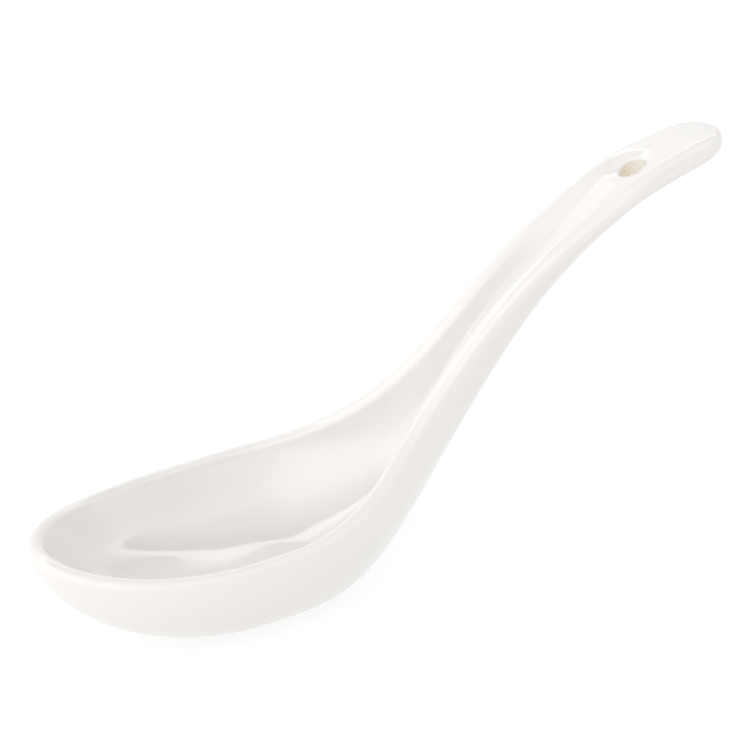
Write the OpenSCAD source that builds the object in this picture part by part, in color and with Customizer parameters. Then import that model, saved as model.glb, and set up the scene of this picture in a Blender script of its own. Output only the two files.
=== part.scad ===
// Chinese soup spoon in glazed porcelain.
// One casting (bowl, ground foot, channelled handle, end tab with a hanging
// hole in a shallow dish) and the glaze coat fused over it. Millimetres, +Z up.
// The origin is the middle of the ground foot, on the table; +X runs towards the
// end of the handle.

/* [Overall size] */
// Length of the spoon along the table
spoon_length = 134.5; // [124:0.5:146]
// Rise of the handle, as a share of the standard rise
handle_rise = 1; // [0.9:0.02:1.1]

/* [Bowl] */
// Width of the bowl at its widest, over the glaze
bowl_width = 45.6; // [42:0.2:50]
// Depth of the bowl, as a share of the standard depth
bowl_depth = 1; // [0.9:0.02:1.1]
// Thickness of the wall at the bowl's rim
rim_t = 3; // [2.6:0.1:3.6]
// Thickness of the bowl's floor before the foot is ground flat
floor_t = 6.6; // [6:0.1:7.6]
// Radius of the bowl's dished floor inside
floor_r = 50; // [46:1:58]
// Height of the tip's rim above the floor line
tip_rise = 16.1; // [14:0.1:18]
// Roundness of the bowl's outline at the tip (2 is an ellipse)
tip_round = 2; // [1.9:0.05:2.3]

/* [Handle] */
// Width of the handle at its widest, over the glaze
handle_width = 16; // [14.4:0.2:17.6]
// Thickness of the handle's wall under its channel, where the channel is shallowest
channel_t = 2.8; // [2.4:0.1:3.4]
// Thickness of the handle's rims where the handle is narrowest
crest_t = 4.2; // [3.6:0.1:4.6]
// Width of the channel's flat floor low on the handle, as a share of the handle's
channel_floor = 0.46; // [0.4:0.02:0.5]
// Thickness of the flat tab at the end
tab_t = 4.2; // [3.8:0.1:4.8]
// Thinning of the tab's edge towards its end, as a share of its thickness
end_thin = 0.35; // [0.25:0.05:0.4]
// Diameter of the hanging hole
hole_d = 5.2; // [4.4:0.1:5.8]
// Distance of the hanging hole from the end of the spoon
hole_from_end = 16.7; // [16:0.1:18]
// Diameter of the shallow dish round the hole
dish_d = 9; // [8.2:0.2:9.6]
// Radius of the dish's curve
dish_r = 15; // [12:0.5:20]

/* [Foot] */
// Depth ground off the bottom to make the flat foot
foot_grind = 1.4; // [1:0.1:1.7]
// Height at which the glaze stops above the table
dry_band = 0.4; // [0.3:0.05:0.8]

/* [Glaze] */
// Thickness of the glaze coat
glaze_t = 0.25; // [0.2:0.05:0.35]

/* [Fineness] */
// Ribs in the fan at the bowl's tip
fan_ribs = 14; // [10:1:18]
// Ribs along each side
side_ribs = 40; // [32:1:46]
// Ribs in the fan at the end of the handle
end_ribs = 8; // [6:1:10]
// Points across each half of a rib
rib_points = 8; // [6:1:10]

/* [Hidden] */
cap_points = 5;
flare = 80;

// Stations along the spine, from the widest part of the bowl to the tab:
// x, spine height over the lowest point, half width between the rims' middles,
// wall height, section exponent, floor thickness, rim thickness, channel share,
// share of the half width that is the channel's flat floor, extra thickness under
// that floor, squareness of the rim's edge (1 is round), share of the bowl's dished
// floor and steep wall in the inside's section, steepness of that wall
kx = spoon_length / 134.5;
kb = bowl_width / 45.6;
kh = handle_width / 16;
ft = floor_t;
ct = channel_t;
cf = channel_floor;
stations = [
  [-5,  3.5, 21.3 * kb, 14.1 * bowl_depth, 2.5, ft,       rim_t,       0,   0.4,  0,   1, 1, 7],
  [ 3,  3.3, 21.3 * kb, 14.5 * bowl_depth, 2.4, ft,       rim_t,       0,   0.4,  0,   1, 1, 5.5],
  [11,  3.5, 20.3 * kb, 15.1 * bowl_depth, 2.1, ft + 0.6, rim_t,       0,   0.4,  0,   1, 0.6, 5],
  [19,  7.3, 18.7 * kb, 13.6 * bowl_depth, 1.8, ft + 0.6, rim_t,       0,   0.4,  0,   1, 0, 5],
  [27, 12.3, 14.7 * kb, 11.8,              1.6, 5.0,      rim_t + 0.2, 0,   0.4,  0,   1, 0, 5],
  [35, 19.9,  9.0,       9.35,             1.7, 3.4,      crest_t - 0.4, 0.4, 0.4, 2.2, 0.9, 0, 5],
  [44, 29.9,  5.4 * kh,  7.0,              1.9, ct + 0.1, crest_t + 0.1, 0.9, cf - 0.06, 3.9, 0.75, 0, 5],
  [54, 41.4,  5.3 * kh,  5.25,             2.0, ct,       crest_t - 0.1, 1, cf,   2.6, 0.72, 0, 5],
  [62, 48.8,  5.9 * kh,  3.8,              2.0, ct + 0.1, tab_t - 0.3, 1,   cf + 0.06, 1.2, 0.75, 0, 5],
  [70, 55.9,  6.2 * kh,  1.25,             2.0, ct + 0.6, tab_t - 0.3, 1,   cf - 0.04, 0.1, 0.75, 0, 5],
  [78, 61.2,  6.0 * kh,  0.1,              2.0, tab_t - 0.2, tab_t - 0.1, 1, cf + 0.06, 0, 0.75, 0, 5],
  [88, 63.7,  5.0 * kh,  0,                2.0, tab_t,    tab_t,       0,   cf + 0.06, 0,  0.7, 0, 5]
];
K = len(stations);
// stations scaled, with the foot plane at z = 0
function st(i) = let (s = stations[i])
  [s[0] * kx, (i < 3 ? s[1] : 3.5 + (s[1] - 3.5) * handle_rise) - foot_grind,
   s[2], s[3], s[4], s[5], s[6], s[7], s[8], s[9], s[10], s[11], s[12]];
rows0 = [for (i = [0 : K - 1]) st(i)];
// rows with the ends carried on straight, for the spline
function carry(r) = concat([2 * r[0] - r[1]], r, [2 * r[len(r) - 1] - r[len(r) - 2]]);
ext0 = carry(rows0);
// lean of each rib: the spine's slope at the station
rows = [for (i = [0 : K - 1]) concat(rows0[i],
  [atan2(ext0[i + 2][1] - ext0[i][1], ext0[i + 2][0] - ext0[i][0])])];
ext = carry(rows);
// uniform cubic spline over the rows
function spline(t) =
  let (i = min(floor(t), K - 2), f = t - i)
  (pow(1 - f, 3) * ext[i] + (3 * f * f * f - 6 * f * f + 4) * ext[i + 1]
   + (-3 * f * f * f + 3 * f * f + 3 * f + 1) * ext[i + 2] + f * f * f * ext[i + 3]) / 6;

// fan at the tip of the bowl
tip_a = 32.5 * kx;
first = rows[0];
lean0 = first[13];
span0 = norm([rows[1][0] - first[0], rows[1][1] - first[1]]);
slope0 = (rows[1][3] - first[3]) / span0;
bend0 = 2 * (tip_rise * bowl_depth - first[3] + slope0 * tip_a) / (tip_a * tip_a);
tip_p = 2.1;
tip_wall = 14;
// fan at the end of the tab
end_a = 6.9;
end_round = 2.3;
last = rows[K - 1];
lean1 = last[13];
function lean_n(a) = [-sin(a), 0, cos(a)];

// a rib: [spine point, reach to the rim, rise to the rim, exponent, floor t, rim t,
// channel share, flat floor share, thickening, squareness,
// dished share, steepness of the wall]
function tip_rib(a) =
  let (o = -tip_a * pow(cos(a), 2 / tip_round), w = first[2] * pow(sin(a), 2 / tip_round),
       h = first[3] + slope0 * o + bend0 * o * o / 2)
  [[first[0], 0, first[1]], [o * cos(lean0), w, o * sin(lean0)], h * lean_n(lean0),
   tip_p + (first[4] - tip_p) * pow(sin(a), 2), first[5], first[6], 0, cf, 0, 1, first[11],
   first[12] + (tip_wall - first[12]) * pow(cos(a), 2)];
function side_rib(t) =
  let (q = spline(t))
  [[q[0], 0, q[1]], [0, q[2], 0], q[3] * lean_n(q[13]), q[4], q[5], q[6], min(1, max(0, q[7])), q[8],
   max(0, q[9]), q[10], min(1, max(0, q[11])), q[12]];
function end_rib(b) =
  let (e = end_a * pow(cos(b), 2 / end_round), w = last[2] * pow(sin(b), 2 / end_round))
  [[last[0], 0, last[1]], [e * cos(lean1), w, e * sin(lean1)], last[3] * lean_n(lean1),
   last[4], last[5], last[6] * (1 - end_thin * pow(cos(b), 2)), 0, cf, 0, last[10], 0, last[12]];
ribs = concat(
  [for (i = [0 : fan_ribs - 1]) tip_rib(90 * i / fan_ribs)],
  [for (i = [0 : side_ribs - 1]) side_rib((K - 1) * i / (side_ribs - 1))],
  [for (i = [1 : end_ribs]) end_rib(90 - 90 * i / end_ribs)]);
U = len(ribs);

// middle surface of the wall, one half: a superellipse arc from spine to rim
function arc_out(c, p) = pow(sin(c), 2 / p) / pow(sin(flare), 2 / p);
function arc_up(c, p) = (1 - pow(cos(c), 2 / p)) / (1 - pow(cos(flare), 2 / p));
function turn(v) = flare * v / rib_points;
mid = [for (r = ribs) [for (v = [0 : rib_points])
  r[0] + arc_out(turn(v), r[3]) * r[1] + arc_up(turn(v), r[3]) * r[2]]];
// the surface that the inside is drawn from: in the bowl a dished floor and a steep wall
function dish_up(r, l) = let (k = r[1] * r[1] / (2 * floor_r * norm(r[2]))) k * l * l + (1 - k) * pow(l, r[11]);
function inner_up(r, c) = let (b = r[10], up = arc_up(c, r[3]))
  b == 0 ? up : up + b * (dish_up(r, arc_out(c, r[3])) - up);
mid_in = [for (r = ribs) [for (v = [0 : rib_points])
  r[0] + arc_out(turn(v), r[3]) * r[1] + inner_up(r, turn(v)) * r[2]]];
function flip_y(p) = [p[0], -p[1], p[2]];
function mid_at(u, v) = u < 0 ? flip_y(mid[-u][v]) : u >= U ? flip_y(mid[2 * (U - 1) - u][v]) : mid[u][v];
function unit(v) = v / norm(v);
// normals, pointing into the bowl
function normal_at(u, v) =
  v == 0 ? (u <= fan_ribs ? lean_n(lean0) : u >= fan_ribs + side_ribs - 1 ? lean_n(lean1)
    : let (d = mid_at(u + 1, 0) - mid_at(u - 1, 0)) unit([-d[2], 0, d[0]]))
  : let (du = mid_at(u + 1, v) - mid_at(u - 1, v),
         dv = v < rib_points ? mid[u][v + 1] - mid[u][v - 1]
            : 3 * mid[u][v] - 4 * mid[u][v - 1] + mid[u][v - 2])
    unit(cross(du, dv));
normals = [for (u = [0 : U - 1]) [for (v = [0 : rib_points]) normal_at(u, v)]];
// half the wall's thickness at a point
function half_t(u, v) = let (k = v / rib_points)
  (ribs[u][4] * (1 - k * k) + ribs[u][5] * k * k) / 2;
function outside(u, v, inset) = mid[u][v] - (half_t(u, v) - inset) * normals[u][v];
function offset_in(u, v, inset) = mid_in[u][v] + (half_t(u, v) - inset) * normals[u][v];
// round rim: its middle, the normal and the outward direction there, and a point at angle g
function rim_n(u) = normals[u][rib_points];
function rim_c(u) = let (d = mid[u][rib_points] - mid[u][rib_points - 1], n = rim_n(u)) unit(d - (d * n) * n);
function part_of(x, k) = sign(x) * pow(abs(x), k);
function on_rim(u, g, inset) = let (k = ribs[u][9])
  mid[u][rib_points] + (half_t(u, rib_points) - inset) * (part_of(sin(g), k) * rim_n(u) + part_of(cos(g), k) * rim_c(u));
// channel: middle of its flat floor, foot of the wall at the edge of the flat floor, and the angle at which a
// straight wall from there touches the round rim
function floor_at(u, inset) = offset_in(u, 0, inset) + ribs[u][8] * normals[u][0];
function foot_at(u, inset) = floor_at(u, inset) + [0, ribs[u][7] * mid[u][rib_points][1] + inset / 2, 0];
function touch_at(u, inset) =
  let (d = foot_at(u, inset) - mid[u][rib_points], a = d * rim_n(u), b = d * rim_c(u))
  atan2(a, b) - acos(min(1, (half_t(u, rib_points) - inset) / norm([a, b])));
// angle at which the inside face meets the rim
function edge_at(u, inset) = let (g = ribs[u][6]) g == 0 ? 90 : 90 + g * (touch_at(u, inset) - 90);
foot_v = floor(rib_points / 2);
function channel(u, v, inset) =
  let (lo = floor_at(u, inset), f = foot_at(u, inset), w = on_rim(u, touch_at(u, inset), inset))
  v <= foot_v ? lo + (f - lo) * v / foot_v : f + (w - f) * (v - foot_v) / (rib_points - foot_v);
// inside face: parallel to the outside in the bowl, a flat floor and straight walls in the channel
function blend(u, v, inset) = let (g = ribs[u][6])
  (1 - g) * offset_in(u, v, inset) + g * channel(u, v, inset);
function inside(u, v, inset) =
  ribs[u][6] == 0 ? offset_in(u, v, inset)
  : blend(u, v, inset) + (on_rim(u, edge_at(u, inset), inset) - blend(u, rib_points, inset)) * pow(v / rib_points, 3);

// points of one rib of a wall whose faces are drawn in by inset:
// outside face from the keel outwards, round rim, inside face back to the spine
function rib_ring(u, inset) =
  let (edge = edge_at(u, inset))
  concat(
    [for (v = [1 : rib_points]) outside(u, v, inset)],
    [for (k = [1 : cap_points - 1]) on_rim(u, -90 + (edge + 90) * k / cap_points, inset)],
    [for (v = [rib_points : -1 : 1]) inside(u, v, inset)]);
ring_n = 2 * rib_points + cap_points - 1;
loop_n = 2 * (U - 1);
// spine station that rib u starts from
function spine_of(u) = max(0, min(side_ribs - 1, u - fan_ribs));
function rib_no(r) = r < U ? r : loop_n - r;

module wall(inset) {
  spine_pts = concat(
    [for (s = [0 : side_ribs - 1]) outside(s + fan_ribs, 0, inset)],
    [for (s = [0 : side_ribs - 1]) inside(s + fan_ribs, 0, inset)]);
  ring_pts = [for (r = [0 : loop_n - 1]) for (p = rib_ring(rib_no(r), inset)) r < U ? p : flip_y(p)];
  base = 2 * side_ribs;
  faces = [for (r = [0 : loop_n - 1])
    let (r2 = (r + 1) % loop_n, a = base + r * ring_n, b = base + r2 * ring_n,
         s = spine_of(rib_no(r)), s2 = spine_of(rib_no(r2)), l = ring_n - 1)
    each concat(
      [for (k = [0 : ring_n - 2]) each [[a + k, b + k, b + k + 1], [a + k, b + k + 1, a + k + 1]]],
      [[s, b, a]], s == s2 ? [] : [[s, s2, b]],
      [[s + side_ribs, a + l, b + l]], s == s2 ? [] : [[s + side_ribs, b + l, s2 + side_ribs]])];
  polyhedron(points = concat(spine_pts, ring_pts), faces = faces, convexity = 6);
}

// place of the hanging hole, on the spine of the tab
end_x = last[0] + end_a * cos(lean1) + last[6] * (1 - end_thin) / 2;
hole_x = end_x - hole_from_end;
function spine_t(x, lo, hi, n) = n == 0 ? (lo + hi) / 2
  : let (m = (lo + hi) / 2) spline(m)[0] < x ? spine_t(x, m, hi, n - 1) : spine_t(x, lo, m, n - 1);
hole_q = spline(spine_t(hole_x, 6, K - 1, 30));
module on_tab() {
  translate([hole_q[0], 0, hole_q[1]]) rotate([0, -hole_q[13], 0]) children();
}
module hole() {
  on_tab() cylinder(d = hole_d, h = 14, center = true, $fn = 48);
}
// ball that dishes the tab's top round the hole
module dish(inset) {
  on_tab() translate([0, 0, hole_q[5] / 2 + sqrt(dish_r * dish_r - dish_d * dish_d / 4)])
    sphere(r = dish_r + inset, $fn = 96);
}

// the casting: bowl, ground foot, handle and tab in one piece
module porcelain_body() {
  color([0.93, 0.91, 0.87]) difference() {
    wall(glaze_t);
    dish(glaze_t);
    translate([-30, -20, -6]) cube([60, 40, 6]);
    hole();
  }
}

// the glaze over the casting, stopping at the dry foot and at the hole's wall
module glaze_coat() {
  color([0.96, 0.95, 0.93]) difference() {
    wall(0);
    difference() {
      wall(glaze_t);
      dish(glaze_t);
    }
    dish(0);
    translate([-40, -30, -6]) cube([80, 60, 6 + dry_band]);
    hole();
  }
}

porcelain_body();
glaze_coat();
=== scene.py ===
"""Chinese soup spoon: the glazed surface and the bare porcelain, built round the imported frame."""

import math

import bmesh
import bpy
import numpy as np
from mathutils import Matrix

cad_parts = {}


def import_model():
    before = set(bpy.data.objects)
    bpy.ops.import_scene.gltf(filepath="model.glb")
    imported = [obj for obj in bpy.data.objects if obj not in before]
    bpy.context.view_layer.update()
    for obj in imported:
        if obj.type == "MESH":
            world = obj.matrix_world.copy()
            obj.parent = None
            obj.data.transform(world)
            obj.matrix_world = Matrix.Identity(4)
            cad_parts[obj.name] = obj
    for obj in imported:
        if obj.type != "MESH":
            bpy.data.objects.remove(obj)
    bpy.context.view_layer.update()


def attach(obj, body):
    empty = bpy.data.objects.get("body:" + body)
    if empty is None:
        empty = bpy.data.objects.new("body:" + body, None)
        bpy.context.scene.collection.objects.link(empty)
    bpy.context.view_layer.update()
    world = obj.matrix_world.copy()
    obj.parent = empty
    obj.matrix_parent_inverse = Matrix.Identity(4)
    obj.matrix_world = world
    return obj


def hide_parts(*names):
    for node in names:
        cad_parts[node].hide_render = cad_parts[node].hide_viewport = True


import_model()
scene = bpy.context.scene

# ---------------------------------------------------------------- shape (mm)
# x, spine height over the lowest point, half width between the rims' middles,
# wall height, section exponent, floor thickness, rim thickness, channel share,
# half width of the channel's flat floor as a share of the half width,
# extra thickness under that floor, squareness of the rim's edge (1 is round),
# share of the bowl's dished floor and steep wall in the inside's section, steepness of that wall
STATIONS = np.array([
    [-5, 3.5, 21.3, 14.1, 2.5, 6.6, 3.0, 0, 0.4, 0, 1, 1, 7],
    [3, 3.3, 21.3, 14.5, 2.4, 6.6, 3.0, 0, 0.4, 0, 1, 1, 5.5],
    [11, 3.5, 20.3, 15.1, 2.1, 7.2, 3.0, 0, 0.4, 0, 1, 0.6, 5],
    [19, 7.3, 18.7, 13.6, 1.8, 7.2, 3.0, 0, 0.4, 0, 1, 0, 5],
    [27, 12.3, 14.7, 11.8, 1.6, 5.0, 3.2, 0, 0.4, 0, 1, 0, 5],
    [35, 19.9, 9.0, 9.35, 1.7, 3.4, 3.8, 0.4, 0.4, 2.2, 0.9, 0, 5],
    [44, 29.9, 5.4, 7.0, 1.9, 2.9, 4.3, 0.9, 0.4, 3.9, 0.75, 0, 5],
    [54, 41.4, 5.3, 5.25, 2.0, 2.8, 4.1, 1, 0.46, 2.6, 0.72, 0, 5],
    [62, 48.8, 5.9, 3.8, 2.0, 2.9, 3.9, 1, 0.52, 1.2, 0.75, 0, 5],
    [70, 55.9, 6.2, 1.25, 2.0, 3.4, 3.9, 1, 0.42, 0.1, 0.75, 0, 5],
    [78, 61.2, 6.0, 0.1, 2.0, 4.0, 4.1, 1, 0.52, 0, 0.75, 0, 5],
    [88, 63.7, 5.0, 0.0, 2.0, 4.2, 4.2, 0, 0.52, 0, 0.7, 0, 5],
])
FOOT_GRIND, DRY_BAND, GLAZE = 1.4, 0.4, 0.25
TIP_A, TIP_RISE, TIP_ROUND, TIP_P = 32.5, 16.1, 2.0, 2.1
END_A, END_ROUND, END_THIN = 6.9, 2.3, 0.35
FOOT_ROUND = 0.45
FLOOR_R, TIP_WALL = 50.0, 14.0
FLARE = math.radians(80)
HOLE_R, HOLE_FROM_END, DISH_D, DISH_R = 2.6, 16.7, 9.0, 15.0
MOUTH_TOP, MOUTH_LOW = 0.6, 0.6
N_TIP, N_SIDE, N_END, N_ACROSS, N_CAP = 42, 170, 22, 28, 11

rows = STATIONS.copy()
rows[:, 1] -= FOOT_GRIND
K = len(rows)


def carry(r):
    return np.vstack([2 * r[0] - r[1], r, 2 * r[-1] - r[-2]])


_e = carry(rows)
lean = np.arctan2(_e[2:, 1] - _e[:-2, 1], _e[2:, 0] - _e[:-2, 0])
rows = np.hstack([rows, lean[:, None]])
EXT = carry(rows)


def spline(t):
    t = np.clip(np.asarray(t, float), 0, K - 1)
    i = np.minimum(t.astype(int), K - 2)
    f = (t - i)[:, None]
    return ((1 - f) ** 3 * EXT[i] + (3 * f**3 - 6 * f**2 + 4) * EXT[i + 1]
            + (-3 * f**3 + 3 * f**2 + 3 * f + 1) * EXT[i + 2] + f**3 * EXT[i + 3]) / 6


first, last = rows[0], rows[-1]
_span = math.hypot(rows[1, 0] - first[0], rows[1, 1] - first[1])
_slope = (rows[1, 3] - first[3]) / _span
_bend = 2 * (TIP_RISE - first[3] + _slope * TIP_A) / TIP_A**2


def ribs(w):
    """Ribs at w: 0 to 1 is the fan at the tip, 1 to 2 the side, 2 to 3 the fan at the end."""
    w = np.asarray(w, float)
    n = len(w)
    C, L, N = np.zeros((n, 3)), np.zeros((n, 3)), np.zeros((n, 3))
    P, TC, TR, G, FS, UP, BOX, WALL = (np.zeros(n) for _ in range(8))
    FS[:], SQ = 0.5, np.ones(n)
    a = w < 1
    if a.any():
        al = np.pi / 2 * w[a]
        o = -TIP_A * np.cos(al) ** (2 / TIP_ROUND)
        y = first[2] * np.abs(np.sin(al)) ** (2 / TIP_ROUND) * np.sign(al)
        h = first[3] + _slope * o + 0.5 * _bend * o**2
        c, s = math.cos(first[13]), math.sin(first[13])
        C[a] = [first[0], 0, first[1]]
        L[a] = np.stack([o * c, y, o * s], -1)
        N[a] = np.stack([-s * h, 0 * h, c * h], -1)
        P[a] = TIP_P + (first[4] - TIP_P) * np.sin(al) ** 2
        TC[a], TR[a], BOX[a] = first[5], first[6], first[11]
        WALL[a] = first[12] + (TIP_WALL - first[12]) * np.cos(al) ** 2
    b = (w >= 1) & (w <= 2)
    if b.any():
        q = spline((w[b] - 1) * (K - 1))
        C[b] = np.stack([q[:, 0], 0 * q[:, 0], q[:, 1]], -1)
        L[b, 1] = q[:, 2]
        N[b] = np.stack([-np.sin(q[:, 13]), 0 * q[:, 0], np.cos(q[:, 13])], -1) * q[:, 3:4]
        P[b], TC[b], TR[b], G[b], FS[b] = q[:, 4], q[:, 5], q[:, 6], np.clip(q[:, 7], 0, 1), q[:, 8]
        UP[b], SQ[b], BOX[b], WALL[b] = np.maximum(q[:, 9], 0), q[:, 10], np.clip(q[:, 11], 0, 1), q[:, 12]
    d = w > 2
    if d.any():
        be = np.pi / 2 * (3 - w[d])
        e = END_A * np.abs(np.cos(be)) ** (2 / END_ROUND)
        y = last[2] * np.abs(np.sin(be)) ** (2 / END_ROUND) * np.sign(be)
        c, s = math.cos(last[13]), math.sin(last[13])
        C[d] = [last[0], 0, last[1]]
        L[d] = np.stack([e * c, y, e * s], -1)
        N[d] = np.array([-s, 0, c]) * last[3]
        P[d], TC[d], SQ[d] = last[4], last[5], last[10]
        TR[d] = last[6] * (1 - END_THIN * np.cos(be) ** 2)
        WALL[d] = last[12]
    return C, L, N, P, TC, TR, G, FS, UP, SQ, BOX, WALL


def arc(psi, p, soft):
    """Reach and rise, 0 to 1, of a superellipse arc; soft rounds off the crease of a low exponent at the spine."""
    phi = psi * FLARE
    lat = np.abs(np.sin(phi)) ** (2 / p) / np.sin(FLARE) ** (2 / p)
    top = 1 - np.cos(FLARE) ** (2 / p)

    def rise(x):
        s = np.clip(x, 0, 1.2) * np.sin(FLARE) ** (2 / p)
        return (1 - np.clip(1 - s**p, 0, 1) ** (1 / p)) / top

    g = lambda x: np.sqrt(x**2 + soft**2) / np.sqrt(1 + soft**2)
    lo = rise(g(0 * lat))
    return lat, (rise(g(lat)) - lo) / (1 - lo)


def middle(w, psi, inner=False):
    """Middle surface of the wall; inner gives the fuller one that the inside is drawn from."""
    C, L, N, P, *_, BOX, WALL = ribs(w)
    p = P[:, None]
    soft = 0.16 * np.clip((2.2 - p) / 0.6, 0, 1)
    lat, ver = arc(psi[None, :], p, soft)
    if inner:
        k = ((L**2).sum(-1) / (2 * FLOOR_R) / np.maximum(np.linalg.norm(N, axis=-1), 1e-6))[:, None]
        ver = ver + BOX[:, None] * (k * lat**2 + (1 - k) * lat ** WALL[:, None] - ver)
    return C[:, None] + lat[..., None] * L[:, None] + ver[..., None] * N[:, None]


W_ = np.concatenate([np.arange(N_TIP) / N_TIP, np.linspace(1, 2, N_SIDE), 2 + np.arange(1, N_END + 1) / N_END])
PSI = np.linspace(0, 1, N_ACROSS + 1)
U = len(W_)
MID = middle(W_, PSI)
MID_IN = middle(W_, PSI, True)
FLIP = np.array([1.0, -1.0, 1.0])


def normals():
    h = 2e-3
    def at(w):
        m = middle(np.where(w > 3, 6 - w, np.abs(w)), PSI)
        m[(w < 0) | (w > 3)] *= FLIP
        return m
    du = at(W_ + h) - at(W_ - h)
    lo, hi = np.maximum(PSI - 1e-3, 0), PSI + 1e-3
    dv = middle(W_, hi) - middle(W_, lo)
    n = np.cross(du, dv)
    n[:, 0] = np.stack([-du[:, 0, 2], 0 * du[:, 0, 0], du[:, 0, 0]], -1)
    fan = W_ <= 1
    n[fan, 0] = [-math.sin(first[13]), 0, math.cos(first[13])]
    n[W_ >= 2, 0] = [-math.sin(last[13]), 0, math.cos(last[13])]
    return n / np.maximum(np.linalg.norm(n, axis=-1, keepdims=True), 1e-12)


NRM = normals()
_, _, _, _, TC, TR, CH, FLAT, LIFT, SQUARE, _, _ = ribs(W_)
HALF = (TC[:, None] * (1 - PSI**2) + TR[:, None] * PSI**2) / 2


def faces_of_wall(inset):
    """Outside, round rim and inside points of every rib, the faces drawn in by inset.

    Where the handle is a channel, the inside is a flat floor and a straight wall that meets the round rim tangentially.
    """
    out = MID - (HALF - inset)[..., None] * NRM
    off = MID_IN + (HALF - inset)[..., None] * NRM
    e, n = MID[:, -1], NRM[:, -1]
    c = MID[:, -1] - MID[:, -2]
    c = c - (c * n).sum(-1, keepdims=True) * n
    c /= np.linalg.norm(c, axis=-1, keepdims=True)
    r = HALF[:, -1] - inset
    lo = off[:, 0] + LIFT[:, None] * NRM[:, 0]
    foot = lo + np.stack([0 * FLAT, FLAT * e[:, 1] + inset * 0.5, 0 * FLAT], -1)
    a, b = ((foot - e) * n).sum(-1), ((foot - e) * c).sum(-1)
    touch = np.arctan2(a, b) - np.arccos(np.clip(r / np.hypot(a, b), -1, 1))
    def on_rim(g):
        k = SQUARE if g.ndim == 1 else SQUARE[:, None]
        sn, cs = np.sign(np.sin(g)) * np.abs(np.sin(g)) ** k, np.sign(np.cos(g)) * np.abs(np.cos(g)) ** k
        if g.ndim == 1:
            return e + r[:, None] * (sn[:, None] * n + cs[:, None] * c)
        return e[:, None] + r[:, None, None] * (sn[..., None] * n[:, None] + cs[..., None] * c[:, None])

    top = on_rim(touch)
    unit = lambda v: v / np.maximum(np.linalg.norm(v, axis=-1, keepdims=True), 1e-9)
    f0 = foot - FOOT_ROUND * unit(foot - lo)
    f1 = foot + FOOT_ROUND * unit(top - foot)
    q = PSI[None, :, None]
    A, B, M, E, O = (v[:, None] for v in (f0, f1, foot, top, lo))
    t = np.clip((q - 0.42) / 0.2, 0, 1)
    path = np.where(q < 0.42, O + (A - O) * (q / 0.42),
                    np.where(q < 0.62, (1 - t)**2 * A + 2 * t * (1 - t) * M + t**2 * B, B + (E - B) * ((q - 0.62) / 0.38)))
    g = CH[:, None, None]
    ins = off + g * (path - off)
    edge = np.pi / 2 + CH * (touch - np.pi / 2)
    ins = ins + (on_rim(edge) - ins[:, -1])[:, None] * q**3
    k = np.arange(1, N_CAP) / N_CAP
    ang = -np.pi / 2 + (edge + np.pi / 2)[:, None] * k
    return out, on_rim(ang), ins


# the hanging hole's place: on the spine, square to the tab
_q = spline(np.linspace(6, K - 1, 40001))
END_X = last[0] + END_A * math.cos(last[13]) + last[6] * (1 - END_THIN) / 2
_h = _q[np.argmin(np.abs(_q[:, 0] - (END_X - HOLE_FROM_END)))]
HOLE_C = np.array([_h[0], 0, _h[1]])
HOLE_T = np.array([math.cos(_h[13]), 0, math.sin(_h[13])])
HOLE_N = np.array([-math.sin(_h[13]), 0, math.cos(_h[13])])
HOLE_Y = np.array([0.0, 1.0, 0.0])
_s = (MID[N_TIP:N_TIP + N_SIDE, 0] - HOLE_C) @ HOLE_T
PATCH_A = N_TIP + int(np.argmin(np.abs(_s + 5.3)))
PATCH_B = N_TIP + int(np.argmin(np.abs(_s - 5.3)))
PATCH_V = int(np.argmin(np.abs(faces_of_wall(0.0)[2][(PATCH_A + PATCH_B) // 2, :, 1] - 4.9)))


def local(p):
    d = p - HOLE_C
    return np.stack([d @ HOLE_T, d @ HOLE_Y, d @ HOLE_N], -1)


def world(q):
    return HOLE_C + q[..., 0:1] * HOLE_T + q[..., 1:2] * HOLE_Y + q[..., 2:3] * HOLE_N


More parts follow.
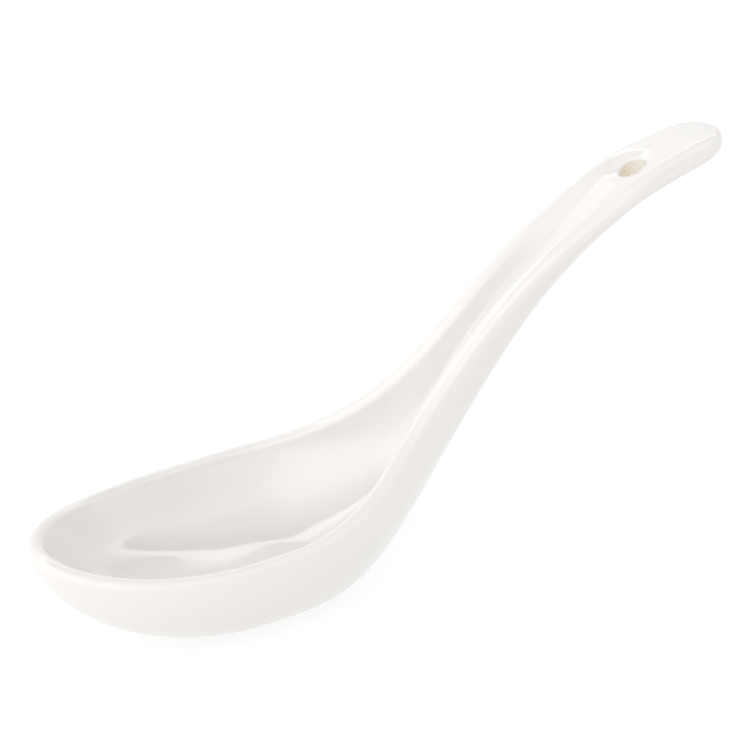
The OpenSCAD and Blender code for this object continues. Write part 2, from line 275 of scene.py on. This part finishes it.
class Skin:
    """One closed skin of the spoon, inset from the glaze's outside, open only at the two mouths of the hole."""

    def __init__(self, inset, mouth=None):
        self.inset = inset
        out, cap, ins = faces_of_wall(inset)
        self.v, self.f = [], []
        loop = 2 * (U - 1)
        rib_no = [r if r < U else loop - r for r in range(loop)]
        spine = [max(0, min(N_SIDE - 1, u - N_TIP)) for u in range(U)]
        so = [self.add(out[N_TIP + s, 0]) for s in range(N_SIDE)]
        si = [self.add(ins[N_TIP + s, 0]) for s in range(N_SIDE)]
        ring = []
        for r in range(loop):
            u, m = rib_no[r], (FLIP if r >= U else np.ones(3))
            ring.append([self.add(p * m) for p in np.concatenate([out[u, 1:], cap[u], ins[u, :0:-1]])])
        n = len(ring[0])
        vp = vb = PATCH_V
        inside_patch = lambda u, u2: PATCH_A <= min(u, u2) and max(u, u2) <= PATCH_B
        for r in range(loop):
            r2 = (r + 1) % loop
            a, b, u, u2 = ring[r], ring[r2], rib_no[r], rib_no[r2]
            p = inside_patch(u, u2)
            for k in range(n - 1):
                if p and (k + 2 <= vb or k >= n - vp):
                    continue
                self.f.append((a[k], b[k], b[k + 1], a[k + 1]))
            s, s2 = spine[u], spine[u2]
            if p:
                continue
            for sp, k, flip in ((so, 0, True), (si, n - 1, False)):
                q = (sp[s], a[k], b[k]) if s == s2 else (sp[s], a[k], b[k], sp[s2])
                self.f.append(q[::-1] if flip else q)
        side = lambda u, neg: ring[(loop - u) % loop if neg else u]

        def border(sp, col):
            A, B = PATCH_A, PATCH_B
            ids = [side(u, False)[col(-1)] for u in range(A, B + 1)]
            ids += [side(B, False)[col(j)] for j in range(-2, -col.n - 1, -1)]
            ids += [sp[B - N_TIP]]
            ids += [side(B, True)[col(j)] for j in range(-col.n, 0)]
            ids += [side(u, True)[col(-1)] for u in range(B - 1, A - 1, -1)]
            ids += [side(A, True)[col(j)] for j in range(-2, -col.n - 1, -1)]
            ids += [sp[A - N_TIP]]
            ids += [side(A, False)[col(j)] for j in range(-col.n, -1)]
            return ids

        class Col:
            def __init__(self, n, f):
                self.n, self.f = n, f
            def __call__(self, j):
                return self.f(j + self.n + 1)

        top = border(si, Col(vp, lambda v: n - v))
        low = border(so, Col(vb, lambda v: v - 1))
        self.mouth = {} if mouth is None else mouth
        cut = slice(PATCH_A, PATCH_B + 1)
        self.top_end = self.mouth_rings(top, ins[cut, :vp + 1], 1, mouth is None)
        self.low_end = self.mouth_rings(low, out[cut, :vb + 1], -1, mouth is None)

    def add(self, p):
        self.v.append(np.asarray(p, float))
        return len(self.v) - 1

    def bridge(self, a, b, flip):
        for k in range(len(a)):
            k2 = (k + 1) % len(a)
            q = (a[k], a[k2], b[k2], b[k])
            self.f.append(q[::-1] if flip else q)

    def mouth_rings(self, ids, patch, sign, outer):
        """Rings from the patch's border to the hole, over the dish on the top side and round the mouth's edge."""
        pts = local(patch.reshape(-1, 3))
        both = np.vstack([pts, pts * [1, -1, 1]])
        basis = lambda s, y: np.stack([s**i * y**j for i in range(6) for j in (0, 2, 4, 6) if i + j < 8], -1)
        scale = 6.0
        coef = np.linalg.lstsq(basis(both[:, 0] / scale, both[:, 1] / scale), both[:, 2], rcond=None)[0]
        height = lambda s, y: basis(s / scale, y / scale) @ coef
        b = local(np.array([self.v[i] for i in ids]))
        ang = np.arctan2(b[:, 1], b[:, 0])
        dirs = np.stack([np.cos(ang), np.sin(ang)], -1)
        left = b[:, 2] - height(b[:, 0], b[:, 1])
        rf = MOUTH_TOP if sign > 0 else MOUTH_LOW
        edge = DISH_D / 2

        def dish(r):
            if sign < 0:
                return 0 * r
            d = np.sqrt(DISH_R**2 - np.minimum(r, 7.0)**2) - math.sqrt(DISH_R**2 - edge**2)
            return 0.5 * (d + np.sqrt(d**2 + 0.10**2))

        rings = [ids]
        r_out = 4.7 if sign > 0 else 3.9
        steps = 7
        for j in range(1, steps + 1):
            q = j / steps
            p = (1 - q) * b[:, :2] + q * r_out * dirs
            r = np.hypot(p[:, 0], p[:, 1])
            fade = np.clip((5.2 - r) / 0.6, 0, 1) if sign > 0 else 1.0
            h = height(p[:, 0], p[:, 1]) + (1 - q) * left - sign * dish(r) * fade
            rings.append(self.ring(p, h))
        # where the mouth's rounding begins
        slope = math.asin((HOLE_R + 0.6 * rf) / DISH_R) if sign > 0 else 0.0
        r_c = HOLE_R + rf
        rad = rf - self.inset
        r0 = r_c - rad * math.sin(slope)
        for r in np.linspace(r_out, r0, 13)[1:]:
            p = r * dirs
            rings.append(self.ring(p, height(p[:, 0], p[:, 1]) - sign * dish(np.full(len(p), r))))
        key = "top" if sign > 0 else "low"
        if outer:
            z0 = local(np.array([self.v[i] for i in rings[-1]]))[:, 2]
            self.mouth[key] = z0 - sign * rf * math.cos(slope)
        zc = self.mouth[key]
        for a in np.linspace(slope, math.pi / 2, 10)[1:]:
            r = r_c - rad * math.sin(a)
            rings.append(self.ring(r * dirs, zc + sign * rad * math.cos(a)))
        for a, c in zip(rings, rings[1:]):
            self.bridge(a, c, sign < 0)
        self.dirs = dirs
        return rings[-1], dirs, zc

    def ring(self, p, h):
        w = world(np.concatenate([p, np.asarray(h)[:, None]], -1))
        return [self.add(x) for x in w]


def to_mesh(name, verts, faces):
    me = bpy.data.meshes.new(name)
    me.from_pydata([tuple(v * 0.001) for v in verts], [], faces)
    bm = bmesh.new()
    bm.from_mesh(me)
    loose = [v for v in bm.verts if not v.link_faces]
    bmesh.ops.delete(bm, geom=loose, context="VERTS")
    return me, bm


def cut_below(bm, z):
    bmesh.ops.bisect_plane(bm, geom=bm.verts[:] + bm.edges[:] + bm.faces[:], dist=1e-8,
                           plane_co=(0, 0, z), plane_no=(0, 0, 1), clear_inner=True)
    bmesh.ops.dissolve_degenerate(bm, dist=2e-6, edges=bm.edges[:])
    return [e for e in bm.edges if e.is_boundary]


def finish_mesh(name, me, bm, angle=35):
    bmesh.ops.recalc_face_normals(bm, faces=bm.faces[:])
    bm.to_mesh(me)
    bm.free()
    me.polygons.foreach_set("use_smooth", np.ones(len(me.polygons), bool))
    me.set_sharp_from_angle(angle=math.radians(angle))
    me.update()
    ob = bpy.data.objects.new(name, me)
    scene.collection.objects.link(ob)
    return ob


# ---------------------------------------------------------------- glaze piece
outer = Skin(0.0)
inner = Skin(GLAZE, outer.mouth)
shift = len(outer.v)
g_verts = outer.v + inner.v
g_faces = list(outer.f) + [tuple(i + shift for i in f[::-1]) for f in inner.f]
for a, b in ((outer.top_end, inner.top_end), (outer.low_end, inner.low_end)):
    A, B = a[0], [i + shift for i in b[0]]
    for k in range(len(A)):
        k2 = (k + 1) % len(A)
        g_faces.append((A[k], A[k2], B[k2], B[k]))
me, bm = to_mesh("glaze", g_verts, g_faces)
edges = cut_below(bm, DRY_BAND * 0.001)
bmesh.ops.bridge_loops(bm, edges=edges)
glaze = finish_mesh("glaze", me, bm)

# ---------------------------------------------------------------- porcelain piece
body = Skin(GLAZE, outer.mouth)
(top_ids, top_dirs, top_z), (low_ids, low_dirs, low_z) = body.top_end, body.low_end
rings = [top_ids]
LIP = 0.02
for j in range(9):
    q = j / 8
    d = (1 - q) * top_dirs + q * low_dirs
    d /= np.linalg.norm(d, axis=-1, keepdims=True)
    rings.append(body.ring((HOLE_R + LIP) * d, (1 - q) * top_z + q * low_z))
rings.append(low_ids)
for a, b in zip(rings, rings[1:]):
    body.bridge(a, b, False)
me, bm = to_mesh("porcelain", body.v, body.f)
edges = cut_below(bm, 0.0)
foot = bmesh.ops.contextual_create(bm, geom=edges)["faces"]
for width, drop in ((0.0005, 0.0), (0.003, 0.0), (0.004, 0.0)):
    bmesh.ops.inset_region(bm, faces=foot, thickness=width, depth=drop)
porcelain = finish_mesh("porcelain", me, bm)

for ob, node, slot in ((glaze, "glaze_coat", "glaze"), (porcelain, "porcelain_body", "porcelain")):
    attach(ob, "root")
    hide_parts(node)

# ---------------------------------------------------------------- materials
def material(name):
    m = bpy.data.materials.new(name)
    m.use_nodes = True
    nt = m.node_tree
    bsdf = nt.nodes["Principled BSDF"]
    return m, nt, bsdf


def noise(nt, coord, scale, detail=2.0, rough=0.5):
    n = nt.nodes.new("ShaderNodeTexNoise")
    n.inputs["Scale"].default_value = scale
    n.inputs["Detail"].default_value = detail
    n.inputs["Roughness"].default_value = rough
    nt.links.new(coord, n.inputs["Vector"])
    return n


def ramp(nt, fac, stops):
    r = nt.nodes.new("ShaderNodeValToRGB")
    while len(r.color_ramp.elements) < len(stops):
        r.color_ramp.elements.new(0.5)
    for e, (pos, col) in zip(r.color_ramp.elements, stops):
        e.position = pos
        e.color = (*col, 1) if len(col) == 3 else col
    nt.links.new(fac, r.inputs["Fac"])
    return r


def map_range(nt, value, a, b, c, d):
    n = nt.nodes.new("ShaderNodeMapRange")
    for k, x in zip(("From Min", "From Max", "To Min", "To Max"), (a, b, c, d)):
        n.inputs[k].default_value = x
    nt.links.new(value, n.inputs["Value"])
    return n


def mix(nt, kind, fac, a, b):
    n = nt.nodes.new("ShaderNodeMix")
    n.data_type, n.blend_type = "RGBA", kind
    for sock, val in ((n.inputs[0], fac), (n.inputs[6], a), (n.inputs[7], b)):
        if isinstance(val, bpy.types.NodeSocket):
            nt.links.new(val, sock)
        else:
            sock.default_value = val
    return n.outputs[2]


# the glaze: warm white, a little uneven, with rare tiny specks and a slightly wavy gloss
m, nt, bsdf = material("glaze_white")
coord = nt.nodes.new("ShaderNodeTexCoord").outputs["Object"]
cloud = noise(nt, coord, 55, 3, 0.55)
tone = ramp(nt, cloud.outputs["Fac"], [(0.3, (0.776, 0.751, 0.727)), (0.55, (0.786, 0.765, 0.743)), (0.75, (0.780, 0.762, 0.745))])
speck = nt.nodes.new("ShaderNodeTexVoronoi")
speck.inputs["Scale"].default_value = 210
speck.inputs["Randomness"].default_value = 1.0
nt.links.new(coord, speck.inputs["Vector"])
spot = map_range(nt, speck.outputs["Distance"], 0.02, 0.05, 1.0, 0.0)
pick = nt.nodes.new("ShaderNodeSeparateColor")
nt.links.new(speck.outputs["Color"], pick.inputs["Color"])
rare = map_range(nt, pick.outputs[0], 0.955, 0.96, 0.0, 0.55)
both = nt.nodes.new("ShaderNodeMath")
both.operation = "MULTIPLY"
nt.links.new(spot.outputs["Result"], both.inputs[0])
nt.links.new(rare.outputs["Result"], both.inputs[1])
colour = mix(nt, "MIX", both.outputs[0], tone.outputs["Color"], (0.42, 0.37, 0.30, 1))
nt.links.new(colour, bsdf.inputs["Base Color"])
gloss = noise(nt, coord, 120, 3, 0.6)
rough = map_range(nt, gloss.outputs["Fac"], 0.3, 0.7, 0.03, 0.06)
nt.links.new(rough.outputs["Result"], bsdf.inputs["Roughness"])
wave = noise(nt, coord, 75, 1.0, 0.4)
bump = nt.nodes.new("ShaderNodeBump")
bump.inputs["Strength"].default_value = 0.35
bump.inputs["Distance"].default_value = 0.0004
nt.links.new(wave.outputs["Fac"], bump.inputs["Height"])
nt.links.new(bump.outputs["Normal"], bsdf.inputs["Normal"])
bsdf.inputs["IOR"].default_value = 1.58
glaze.data.materials.append(m)

# bare fired porcelain at the foot and in the hole: matt, fine grained
m, nt, bsdf = material("porcelain_bare")
coord = nt.nodes.new("ShaderNodeTexCoord").outputs["Object"]
grain = noise(nt, coord, 2600, 4, 0.6)
patch = noise(nt, coord, 140, 3, 0.5)
tone = ramp(nt, patch.outputs["Fac"], [(0.3, (0.80, 0.76, 0.68)), (0.7, (0.86, 0.82, 0.74))])
fine = ramp(nt, grain.outputs["Fac"], [(0.35, (0.90, 0.885, 0.86)), (0.6, (1, 1, 1))])
colour = mix(nt, "MULTIPLY", 1.0, tone.outputs["Color"], fine.outputs["Color"])
# painted shade and light on the hole's wall: darker on the side towards the bowl and lighter, slightly blue-white, on
# the side towards the end, standing in for light from the left falling into the bore
split = nt.nodes.new("ShaderNodeSeparateXYZ")
nt.links.new(coord, split.inputs["Vector"])
along = map_range(nt, split.outputs["X"], 0.0, 0.1, 0.0, 1.0)
# painted shade then painted light along X across the hole, not a stain in the porcelain
hole_painted_shade_and_light = ramp(nt, along.outputs["Result"], [(0.5, (1, 1, 1)), (0.785, (0.93, 0.905, 0.83)), (0.815, (1.06, 1.08, 1.14))])
colour = mix(nt, "MULTIPLY", 1.0, colour, hole_painted_shade_and_light.outputs["Color"])
nt.links.new(colour, bsdf.inputs["Base Color"])
rough = map_range(nt, grain.outputs["Fac"], 0.3, 0.7, 0.62, 0.85)
nt.links.new(rough.outputs["Result"], bsdf.inputs["Roughness"])
bump = nt.nodes.new("ShaderNodeBump")
bump.inputs["Strength"].default_value = 0.5
bump.inputs["Distance"].default_value = 0.0001
nt.links.new(grain.outputs["Fac"], bump.inputs["Height"])
nt.links.new(bump.outputs["Normal"], bsdf.inputs["Normal"])
porcelain.data.materials.append(m)

# ---------------------------------------------------------------- stage
fm = bpy.data.meshes.new("floor")
R, LOW = 3.0, -0.00005
fm.from_pydata([(-R, -R, LOW), (R, -R, LOW), (R, R, LOW), (-R, R, LOW)], [], [(0, 1, 2, 3)])
floor = bpy.data.objects.new("floor", fm)
scene.collection.objects.link(floor)
m, nt, bsdf = material("floor_white")
coord = nt.nodes.new("ShaderNodeTexCoord").outputs["Object"]
paper = noise(nt, coord, 900, 2, 0.5)
tone = ramp(nt, paper.outputs["Fac"], [(0.3, (0.27, 0.27, 0.268)), (0.7, (0.28, 0.28, 0.278))])
nt.links.new(tone.outputs["Color"], bsdf.inputs["Base Color"])
bsdf.inputs["Roughness"].default_value = 0.9
bsdf.inputs["Specular IOR Level"].default_value = 0.1
bsdf.inputs["Emission Color"].default_value = (1, 1, 1, 1)
bsdf.inputs["Emission Strength"].default_value = 0.74
floor.data.materials.append(m)

# ---------------------------------------------------------------- camera
def camera_axes(az, el, roll):
    a, e, r = map(math.radians, (az, el, roll))
    back = np.array([math.sin(a) * math.cos(e), -math.cos(a) * math.cos(e), math.sin(e)])
    right = np.array([math.cos(a), math.sin(a), 0.0])
    up = np.cross(back, right)
    return math.cos(r) * right + math.sin(r) * up, -math.sin(r) * right + math.cos(r) * up, back


PX_PER_MM, DIST = 5.65, 322.0
TARGET = np.array([27.67, 4.57, 32.72])
right, up, back = camera_axes(-19.78, 23.84, -6.83)
eye = TARGET + back * DIST
cam_data = bpy.data.cameras.new("camera")
cam_data.sensor_fit = "HORIZONTAL"
cam_data.sensor_width = 36.0
cam_data.lens = PX_PER_MM * DIST * 36.0 / 750.0
cam_data.clip_start = 0.01
cam = bpy.data.objects.new("camera", cam_data)
cam.matrix_world = Matrix((
    (right[0], up[0], back[0], eye[0] * 0.001),
    (right[1], up[1], back[1], eye[1] * 0.001),
    (right[2], up[2], back[2], eye[2] * 0.001),
    (0, 0, 0, 1)))
scene.collection.objects.link(cam)
scene.camera = cam

# ---------------------------------------------------------------- light
# a white tent, brightest on the left; behind, a white backdrop with a bright upper edge and a dim room above it
world_ = bpy.data.worlds.new("studio")
world_.use_nodes = True
scene.world = world_
nt = world_.node_tree
bg = nt.nodes["Background"]
tc = nt.nodes.new("ShaderNodeTexCoord")
sep = nt.nodes.new("ShaderNodeSeparateXYZ")
nt.links.new(tc.outputs["Generated"], sep.inputs["Vector"])


def towards(x, y, z):
    d = nt.nodes.new("ShaderNodeVectorMath")
    d.operation = "DOT_PRODUCT"
    nt.links.new(tc.outputs["Generated"], d.inputs[0])
    d.inputs[1].default_value = (x, y, z)
    return d.outputs["Value"]


def grey(v):
    return (v, v, v)


near = ramp(nt, sep.outputs["Z"], [(0.0, grey(0.64)), (0.25, grey(0.92)), (0.5, grey(1.10)), (0.66, grey(1.08)), (0.87, grey(0.72)), (1.0, grey(0.42))])
drop = ramp(nt, sep.outputs["Z"], [(0.0, grey(0.70)), (0.5, grey(0.78)), (0.58, grey(0.92)), (0.62, grey(1.55)), (0.69, grey(1.55)), (0.71, grey(0.05)), (0.85, grey(0.20)), (1.0, grey(0.42))])
turn = map_range(nt, towards(0.34, 0.94, 0.0), -0.25, 0.25, 0.0, 1.0)
tent = mix(nt, "MIX", turn.outputs["Result"], near.outputs["Color"], drop.outputs["Color"])
side = map_range(nt, towards(-0.80, -0.60, 0.0), -1, 1, 0.84, 1.25)
front = map_range(nt, towards(0.10, -0.99, 0.05), 0.60, 1.0, 1.0, 0.22)
tent = mix(nt, "MULTIPLY", 1.0, tent, side.outputs["Result"])
tent = mix(nt, "MULTIPLY", 1.0, tent, front.outputs["Result"])
nt.links.new(tent, bg.inputs["Color"])
bg.inputs["Strength"].default_value = 1.56

scene.view_settings.view_transform = "Standard"
scene.view_settings.look = "None"
scene.view_settings.exposure = 0.0
